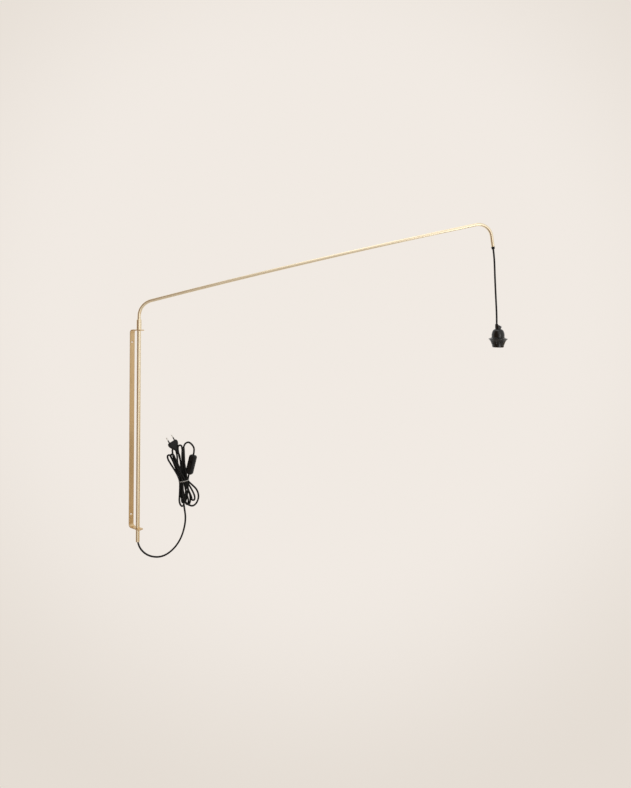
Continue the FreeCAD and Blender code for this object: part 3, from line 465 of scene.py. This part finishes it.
def mesh_piece(name, rings, place, material, body, nodes, closed=True, ends=False, crease=38):
    """A piece from rings of points, each joined to the next, in the frame of its part."""
    form = bmesh.new()
    rows = [[form.verts.new(place @ (Vector(point) * MM)) for point in ring] for ring in rings]
    count = len(rows[0])
    pairs = list(zip(rows, rows[1:])) + ([(rows[-1], rows[0])] if closed else [])
    for low, high in pairs:
        for number in range(count):
            after = (number + 1) % count
            form.faces.new((low[number], low[after], high[after], high[number]))
    if ends:
        form.faces.new(list(reversed(rows[0])))
        form.faces.new(rows[-1])
    bmesh.ops.remove_doubles(form, verts=form.verts, dist=1e-6)
    bmesh.ops.recalc_face_normals(form, faces=form.faces)
    mesh = bpy.data.meshes.new(name)
    form.to_mesh(mesh)
    form.free()
    mesh.shade_smooth()
    mesh.set_sharp_from_angle(angle=math.radians(crease))
    piece = bpy.data.objects.new(name, mesh)
    bpy.context.collection.objects.link(piece)
    even = piece.modifiers.new("even_light", "WEIGHTED_NORMAL")
    even.keep_sharp = True
    mesh.materials.append(material)
    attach(piece, body)
    if nodes:
        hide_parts(*nodes)
    return piece


def turned_rings(profile, segments=96, shape=None):
    """Rings of a turned piece, one for each point of its profile."""
    rings = []
    for radius, height in profile:
        ring = []
        for number in range(segments):
            angle = 2 * math.pi * number / segments
            wide, high = shape(radius, height, angle) if shape else (radius, height)
            ring.append((wide * math.cos(angle), wide * math.sin(angle), high))
        rings.append(ring)
    return rings


def outline(width, height, corner, per_corner=7, per_side=5):
    """Points round a rectangle with rounded corners, the same number whatever its size."""
    points = []
    half_wide, half_high = width / 2, height / 2
    corner = min(corner, half_wide - 0.01, half_high - 0.01)
    centres = [(half_wide - corner, half_high - corner, 0), (corner - half_wide, half_high - corner, 90),
               (corner - half_wide, corner - half_high, 180), (half_wide - corner, corner - half_high, 270)]
    for number, (x, z, start) in enumerate(centres):
        for step in range(per_corner + 1):
            angle = math.radians(start + 90 * step / per_corner)
            points.append((x + corner * math.cos(angle), z + corner * math.sin(angle)))
        next_x, next_z, next_start = centres[(number + 1) % 4]
        angle = math.radians(start + 90)
        here = Vector(points[-1])
        there = Vector((next_x + corner * math.cos(angle), next_z + corner * math.sin(angle)))
        points.extend(tuple(here.lerp(there, step / per_side)) for step in range(1, per_side))
    return points


# Lampholder

def lampholder(shine, threaded):
    body, slot = "swing_arm", "gloss_black"
    skirt = softened([
        (15.4, 0, 0.3), (16.2, 0, 0.4), (17.2, 1.2, 0.9), (17.8, 5.6, 0.3), (18.3, 6.0, 0.2), (18.3, 6.7, 0.2),
        (18.05, 7.0, 0.3), (18.1, 30.7, 0.2), (17.0, 30.7), (17.0, 35.0, 0.2), (12.5, 35.0, 0.2), (12.5, 33.8),
        (15.4, 33.8)])
    mesh_piece("lampholder_skirt", turned_rings(skirt), HOLDER, shine, body, ["holder_skirt"])

    flutes, flute_foot, flute_top, flute_depth = 12, 10.2, 21.4, 1.0

    def fluted(radius, height, angle):
        """Finger flutes round the collar, which fade out at both ends."""
        if radius < 18.9 or not flute_foot < height < flute_top:
            return radius, height
        hollow = max(0.0, math.cos(angle * flutes)) ** 8
        ease = min(1.0, (height - flute_foot) / 1.4, (flute_top - height) / 2.0)
        return radius - flute_depth * hollow * ease, height

    collar = [(18.15, 8.6, 0.2), (18.9, 8.6, 0.3), (19.3, 10.0), (19.6, 10.9), (19.9, 11.8), (20.25, 12.8),
              (20.6, 13.9), (21.0, 14.9), (21.45, 15.9), (21.9, 16.9), (22.4, 17.8), (22.9, 18.8), (23.4, 19.7)]
    flange = [(24.0, 20.6, 0.5), (26.4, 23.7, 2), (28.6, 25.6, 0.5), (28.6, 26.8, 0.7), (23.2, 28.6, 3),
              (20.4, 30.6, 0.6), (18.15, 30.6, 0.2)]
    ring = softened(collar + flange)
    mesh_piece("shade_ring_fluted", turned_rings(ring, 288, fluted), HOLDER, shine, body, ["shade_ring"])
    dome = softened([
        (17.05, 31.0), (19.4, 31.0, 0.4), (19.4, 40.5, 8), (18.2, 46.0, 8), (16.2, 51.2, 5), (13.0, 55.0, 3),
        (9.6, 56.6, 1.0), (7.65, 56.0, 0.3), (7.65, 44.9), (13.2, 44.9), (13.2, 41.4), (17.05, 41.4)], steps=6)
    mesh_piece("lampholder_dome", turned_rings(dome), HOLDER, shine, body, ["holder_dome"])

    slant_foot, slant_rise, slant, cap_radius = 60, 9.5, 2.6, 8.6

    def slanted(radius, height, angle):
        """The grip's top falls away from the side where the flex comes in."""
        if height < slant_foot:
            return radius, height
        share = (height - slant_foot) / slant_rise
        return radius, height - share * slant * (radius * math.cos(angle) / cap_radius)

    cap = softened([
        (0, 52.2), (7.6, 52.2), (7.6, 56.05), (9.2, 56.05, 0.6), (8.6, 60.0, 2), (8.0, 69.3, 3.2),
        (0, 69.3)], closed=False)
    mesh_piece("cord_grip_cap", turned_rings(cap, 72, slanted), HOLDER, shine, body,
               ["cord_grip"], closed=False)
    boss = softened([
        (2.85, 60.0), (4.9, 60.0), (4.8, 70.0, 2), (4.2, 72.5, 0.8), (3.4, 72.5, 0.4), (2.85, 71.6, 0.3)])
    mesh_piece("cord_grip_boss", turned_rings(boss, 48), HOLDER @ moved(-4.5, 0, 0), shine, body,
               ["cord_grip"])

    foot, length, steps, pitch, depth = 5.0, 27.0, 60, 3.63, 0.42

    def rolled(radius, height, angle):
        """A rolled thread that fades out at both ends of the shell."""
        wave = depth * math.sin(2 * math.pi * height / pitch - angle)
        ease = min(1.0, (height - foot) / 1.5, (foot + length - height) / 1.5)
        return radius + wave * max(0.0, ease), height

    rise = [foot + length * step / steps for step in range(steps + 1)]
    shell = [(13.35, height) for height in rise] + [(13.85, height) for height in reversed(rise)]
    mesh_piece("rolled_screw_shell", turned_rings([Vector(point) for point in shell], 72, rolled), HOLDER, threaded,
               body, ["screw_shell"])


# Bushes

def arm_bush(dull):
    profile = softened([
        (2.85, -7.8, 0.5), (4.5, -7.8, 0.7), (5.0, -2.2, 0.3), (5.5, -1.8, 0.4), (5.5, -0.05, 0.3),
        (3.95, -0.05), (3.95, 9.0, 0.3), (2.85, 9.0, 0.2)])
    mesh_piece("arm_mouth_bush", turned_rings(profile, 64), DROP @ turned_by(-8, "Y"), dull, "swing_arm",
               ["arm_end_bush"])


# Cord switch

def switch_case(dull):
    length, width, depth, corner = 61.0, 23.0, 15.0, 6.5

    def level(inset, y, more=0.0):
        """A ring round the case at depth y, set in all round and a little more at its long sides."""
        flat = outline(width - 2 * (inset + more), length - 2 * inset, max(corner - inset * 0.6, 0.8))
        return [(x, y, z) for x, z in flat]

    def rim(side, slope, final):
        """Rings from the parting line up the side, over the broad bevel and the round edge to the face."""
        rings = [level(0.35, 0), level(0.1, side * 0.35), level(0, side * 0.7),
                 level(0.12, side * (slope - 0.8)), level(0.22, side * (slope - 0.2)),
                 level(0.5, side * (slope + 0.25))]
        rise = depth / 2 - slope
        rings += [level(0.5 + 2.2 * share, side * (slope + 0.25 + (rise - 0.45) * share), 2.6 * share)
                  for share in (0.25, 0.5, 0.75, 1.0)]
        rings += [level(2.95, side * (depth / 2 - 0.06), 2.75), level(3.3, side * depth / 2, 2.9)]
        rings.append(level(final, side * depth / 2, 2.9))
        return rings

    back = rim(1, 5.2, 4.5)
    mesh_piece("switch_case_back", [level(3.0, 0)] + back, SWITCH, dull, "bracket",
               ["switch_back_shell"], closed=False, ends=True)
    window = [[(x, -depth / 2 + sink, z) for x, z in outline(9.6 + 2 * grow, 19.9 + 2 * grow, 1.6 + grow)]
              for grow, sink in ((0.5, 0), (0.35, 0.06), (0.0, 0.4), (0.0, 5.6))]
    front = rim(-1, 4.7, 3.6) + window
    mesh_piece("switch_case_front", [level(3.0, 0)] + front, SWITCH, dull, "bracket",
               ["switch_front_shell"], closed=False)
    return ["switch_case_back", "switch_case_front"]


# Plug

PLUG_SHAPE = [
    # height, width, thickness, squareness
    (0.0, 21.0, 7.0, 2.4), (0.0, 25.8, 10.2, 2.3), (-0.5, 27.8, 11.4, 2.3), (-1.6, 29.9, 12.4, 2.3),
    (-3.2, 31.8, 13.2, 2.25), (-5.6, 33.1, 13.7, 2.25), (-8.4, 33.3, 13.7, 2.2), (-11.2, 32.0, 13.6, 2.2),
    (-14.4, 29.2, 13.4, 2.2), (-17.6, 25.6, 13.0, 2.2), (-20.8, 21.4, 12.3, 2.15), (-24.0, 17.2, 11.5, 2.1),
    (-26.8, 13.8, 10.8, 2.05), (-28.6, 11.0, 10.2, 2.0),
]


GUARD_RIBS = 6
GUARD_RIB = ((0.0, 0.8), (0.15, 0.15), (0.4, 0.0), (1.15, 0.05), (1.4, 0.2), (1.5, 0.8))
PIN_SIDE = 9.3


def plug_rings():
    """The moulded grip from its face down, and the ribs of the cord guard, each a little thinner."""
    def oval(height, width, thickness, square, count=72):
        ring = []
        for number in range(count):
            angle = 2 * math.pi * number / count
            c, s = math.cos(angle), math.sin(angle)
            ring.append((width / 2 * math.copysign(abs(c) ** (2 / square), c),
                         thickness / 2 * math.copysign(abs(s) ** (2 / square), s), height))
        return ring

    rings = [oval(*here) for here in PLUG_SHAPE]
    for rib in range(GUARD_RIBS):
        top = -28.9 - rib * 2.2
        radius = 5.1 - rib * 0.28
        rings.extend(oval(top - drop, 2 * (radius - cut), 2 * (radius - cut), 2.0) for drop, cut in GUARD_RIB)
    rings.append(oval(-42.0, 7.0, 7.0, 2.0))
    rings.append(oval(-42.0, 5.6, 5.6, 2.0))
    return rings


def plug_pieces(dull, nickel):
    mesh_piece("plug_grip", plug_rings(), PLUG, dull, "bracket", ["plug_body"],
               closed=False, ends=True, crease=50)
    names = ["plug_grip"]
    for side, word in ((-1, "left"), (1, "right")):
        pin = softened([(0, 9.0), (1.9, 9.0), (2.0, 10.2, 0.1), (2.0, 19.0, 1.6), (0, 19.0)], closed=False, steps=6)
        cover = softened([(0, -0.2), (1.9, -0.2), (1.9, 10.0, 0.15), (0, 10.0)], closed=False)
        place = PLUG @ moved(side * PIN_SIDE, 0, 0)
        mesh_piece(f"plug_pin_{word}", turned_rings(pin, 40), place, nickel, "bracket",
                   ["plug_pins"], closed=False)
        mesh_piece(f"plug_pin_cover_{word}", turned_rings(cover, 40), place, dull, "bracket",
                   ["plug_pin_sleeves"], closed=False)
        names += [f"plug_pin_{word}", f"plug_pin_cover_{word}"]
    return names


# Twist tie

def twist_tie(grey):
    """A flat wire tie, once round the waist of the hank, with its twisted ends at the front."""
    middle, height = 142.5, 190.6
    half_wide, half_deep, slope, squareness = 15.2, 10.9, 0.19, 0.72
    count = 96
    rings = []

    def band(centre, outward, up):
        """The tie's section: a flat strip with the wire's ridge in the middle of its outer face."""
        return [centre + outward * 0.55 + up * 0.8, centre + outward * 0.25 + up * 0.95,
                centre - outward * 0.45 + up * 0.95, centre - outward * 0.55 + up * 0.8,
                centre - outward * 0.55 - up * 0.8, centre - outward * 0.45 - up * 0.95,
                centre + outward * 0.25 - up * 0.95, centre + outward * 0.55 - up * 0.8,
                centre + outward * 0.75 - up * 0.25, centre + outward * 0.75 + up * 0.25]

    for number in range(count):
        angle = 2 * math.pi * number / count
        c, s = math.cos(angle), math.sin(angle)
        u = half_wide * math.copysign(abs(c) ** squareness, c)
        v = half_deep * math.copysign(abs(s) ** squareness, s)
        outward = Vector((u / half_wide ** 2, v / half_deep ** 2, 0)).normalized()
        centre = Vector((middle + u, v, height + u * slope))
        rings.append(band(centre, outward, Vector((-slope, 0, 1)).normalized()))
    mesh_piece("twist_tie_band", rings, LEAD, grey, "bracket", ["hank_tie"])
    names = ["twist_tie_band"]
    end_section = ((0.35, 0.9), (-0.35, 0.9), (-0.45, 0.0), (-0.35, -0.9), (0.35, -0.9), (0.45, 0.0))
    for turn, word in ((0, "first"), (180, "second")):
        rings = []
        for step in range(37):
            share = step / 36
            angle = math.radians(turn + 900 * share)
            spread = 0.9 + 1.6 * max(0.0, share - 0.72) / 0.28
            path = Vector((middle - 4 + 9.5 * share, -12.2 - 0.6 * math.sin(math.pi * share),
                           height - 0.4 + 1.2 * share))
            side = Vector((0, math.cos(angle), math.sin(angle)))
            flat = Vector((0, -math.sin(angle), math.cos(angle)))
            centre = path + side * spread * 0.5
            rings.append([centre + side * a + flat * b for a, b in end_section])
        mesh_piece(f"twist_tie_{word}_end", rings, LEAD, grey, "bracket", [], closed=False, ends=True)
        names.append(f"twist_tie_{word}_end")
    return names


def flex_pieces(sheath, riders):
    pendant = smooth_cord("pendant_flex", PENDANT_POINTS, DROP)
    pendant.data.materials.append(sheath)
    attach(pendant, "swing_arm")
    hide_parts("pendant_cord")
    mains = smooth_cord("mains_flex", MAINS_POINTS + HANK_POINTS, LEAD)
    mains.data.materials.append(sheath)
    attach(mains, "bracket")
    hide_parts("mains_cord", "cord_hank")
    riders + ["switch_rocker", "rocker_pin", "switch_contacts", "switch_screws"]


# Room and light

BACKDROP_MIDDLE = (0.879, 0.823, 0.768)
BACKDROP_EDGE = (0.783, 0.723, 0.658)
FLOOR_HEIGHT = -2.45
FLOOR_RADIUS = 1.5
MIDDLE = Vector((0.3, -0.45, 0.2))


def make_world():
    world = bpy.data.worlds.new("studio")
    bpy.context.scene.world = world
    paint = Paint(world)
    direction = paint.coordinates("Generated")
    facing = paint.along(direction, -CAMERA_SIDE)
    rightward = paint.along(direction, ACROSS)
    height = paint.height(direction)
    ramp = paint.ramp

    # what the camera sees: a pale backdrop that darkens a little towards its edges
    colour = paint.mix(ramp(facing, 0.92, 0.74), BACKDROP_MIDDLE + (1,), BACKDROP_EDGE + (1,))
    seen = paint.node("ShaderNodeBackground", None, {"Color": colour, "Strength": 1.0})["Background"]

    # what the metal mirrors: dark at the camera's left, golden low at the right, duller below, pale elsewhere
    front = ramp(facing, 0.30, -0.20)
    level = ramp(height, -0.10, 0.02) * ramp(height, 0.34, 0.18)
    lighter = (1.0 - ramp(rightward, 0.14, -0.18) * level) * (1.0 - ramp(rightward, -0.22, -0.42))
    golden = ramp(height, -0.02, -0.28) * ramp(height, -0.55, -0.38) * ramp(rightward, 0.35, 0.85)
    around = paint.mix(golden, (0.85, 0.83, 0.80, 1), (0.50, 0.36, 0.20, 1))
    around = paint.mix(front * ramp(height, -0.35, -0.60), around, (0.46, 0.43, 0.39, 1))
    around = paint.mix(front * (1.0 - lighter), around, (0.26, 0.17, 0.11, 1))
    mirrored = paint.node("ShaderNodeBackground", None, {"Color": around, "Strength": 1.0})["Background"]
    path = paint.node("ShaderNodeLightPath")
    shown = paint.node("ShaderNodeMixShader", None, {
        0: path["Is Camera Ray"] + path["Is Transmission Ray"], 1: mirrored, 2: seen})["Shader"]
    paint.node("ShaderNodeOutputWorld", None, {"Surface": shown})


def make_floor():
    form = bmesh.new()
    bmesh.ops.create_circle(form, cap_ends=True, radius=FLOOR_RADIUS, segments=96)
    mesh = bpy.data.meshes.new("floor")
    form.to_mesh(mesh)
    form.free()
    floor = bpy.data.objects.new("floor", mesh)
    floor.location = (MIDDLE.x, MIDDLE.y, FLOOR_HEIGHT)
    bpy.context.collection.objects.link(floor)
    material, paint = new_paint("pale_floor")
    diffuse = paint.node("ShaderNodeBsdfDiffuse", None, {"Color": BACKDROP_EDGE + (1,)})["BSDF"]
    glow = paint.node("ShaderNodeEmission", None, {"Color": BACKDROP_EDGE + (1,), "Strength": 1.0})["Emission"]
    camera_ray = paint.node("ShaderNodeLightPath")["Is Camera Ray"]
    mixed = paint.node("ShaderNodeMixShader", None, {0: camera_ray * 0.88, 1: diffuse, 2: glow})["Shader"]
    paint.node("ShaderNodeOutputMaterial", None, {"Surface": mixed})
    mesh.materials.append(material)


def area_light(name, place, aim, size, power):
    data = bpy.data.lights.new(name, "AREA")
    data.shape = "RECTANGLE"
    data.size, data.size_y = size
    data.energy = power
    light = bpy.data.objects.new(name, data)
    light.location = place
    light.rotation_mode = "QUATERNION"
    light.rotation_quaternion = (Vector(aim) - Vector(place)).to_track_quat("-Z", "Y")
    light.visible_camera = False
    bpy.context.collection.objects.link(light)


def make_lights():
    up = Vector((0, 0, 1))
    angle = math.radians(32)
    strip_side = CAMERA_SIDE * math.cos(angle) + ACROSS * math.sin(angle)
    area_light("tall_strip", MIDDLE + strip_side * 2.3 + up * 0.1, MIDDLE + up * 0.1, (0.7, 2.8), 5)
    area_light("fill_top", MIDDLE + up * 2.4, MIDDLE, (1.8, 1.8), 8)
    angle = math.radians(19)
    near_side = CAMERA_SIDE * math.cos(angle) + ACROSS * math.sin(angle)
    holder = HOLDER.translation + up * 0.03
    area_light("lampholder_strip", holder + near_side * 0.45 - up * 0.16, holder, (0.10, 0.62), 0.4)


bpy.context.scene.view_settings.view_transform = "Standard"
make_camera()

sheath = flex_black()
dull_black = satin_black()
shiny_black = gloss_black()
nickel = plated_metal("nickel", (0.86, 0.84, 0.80, 1), 0.26)
contact_brass = plated_metal("contact_brass", (0.72, 0.56, 0.32, 1), 0.22)
riders = switch_case(dull_black) + plug_pieces(dull_black, nickel) + twist_tie(tie_grey())
flex_pieces(sheath, riders)
lampholder(shiny_black, contact_brass)
arm_bush(dull_black)

slope = math.radians(ARM_SLOPE)
along_arm = (ACROSS * math.cos(slope) + Vector((0, 0, 1)) * math.sin(slope)).normalized()
dress(polished_brass("mast_brass", (0.0, 0.0, 1.0)), "mast_tube", "sleeve_collar")
dress(polished_brass("arm_brass", along_arm), "arm_tube")
dress(brushed_brass(), "wall_bracket")
dress(satin_black("mast_bush_black"), "mast_end_bush", "switch_rocker")
dress(plated_metal("zinc_steel", (0.50, 0.50, 0.52, 1), 0.30), "sleeve_grub_screw", "grip_screw",
      "terminal_screws", "rocker_pin", "switch_screws")
dress(contact_brass, "centre_contact", "switch_contacts")
dress(glazed_ceramic(), "contact_block")
dress(sheath, "cord_in_tubes")

make_world()
make_floor()
make_lights()
